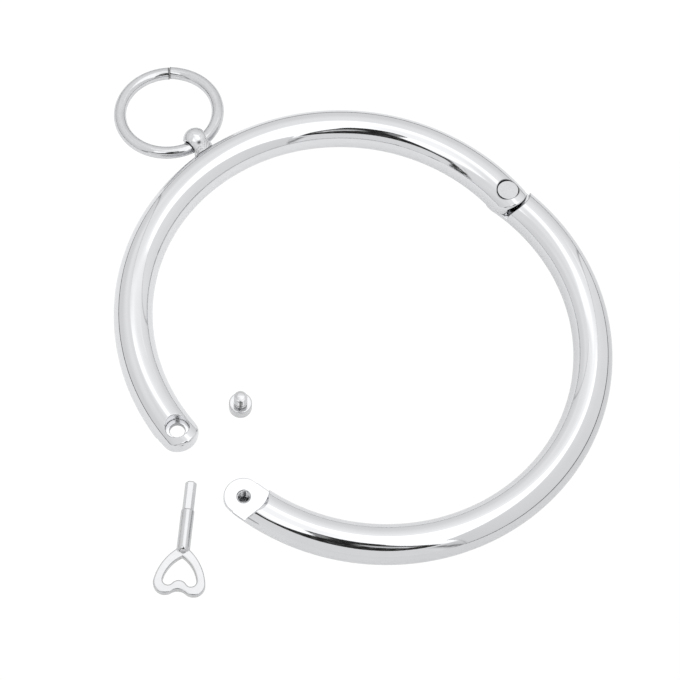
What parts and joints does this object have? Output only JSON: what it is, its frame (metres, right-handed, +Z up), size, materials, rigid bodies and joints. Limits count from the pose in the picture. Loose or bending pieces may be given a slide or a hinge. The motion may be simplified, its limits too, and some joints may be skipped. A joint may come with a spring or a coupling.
{
  "type": "hinged metal neck collar with lock screw and key",
  "caption": "Hinged neck collar of round polished steel bar, standing a little open, with a front ring on a ball stud, its lock screw and a key with a heart-shaped bow.",
  "frame": {"origin": "centre of the front half's circle, on the plane the collar lies on", "axes": "+Z up, out of the plane the collar lies on; -Y to the front, where the ring hangs; -X to the hinge; +X to the lock"},
  "size_m": [0.1734, 0.1959, 0.012],
  "materials": {
    "polished_bar": "mirror-polished stainless steel",
    "turned_steel": "bright polished stainless steel",
    "screw_steel": "bright stainless screw, satin in the thread",
    "key_steel": "lightly polished steel"
  },
  "bodies": {
    "front": {"front_half": "polished_bar", "hinge_pin": "turned_steel", "ball_stud": "turned_steel", "lock_screw": "screw_steel", "key": "key_steel"},
    "back": {"back_half": "polished_bar"},
    "ring": {"front_ring": "turned_steel"}
  },
  "joints": [
    {"name": "collar_hinge", "type": "hinge", "parent": "front", "child": "back", "pos_m": [-0.066, 0, 0.006], "axis": [0, 0, 1], "range_deg": [-12.3, 47.7]},
    {"name": "ring_swing", "type": "hinge", "parent": "front", "child": "ring", "pos_m": [-0.0003, -0.0762, 0.0052], "axis": [-1, 0, 0], "range_deg": [0, 134]}
  ]
}
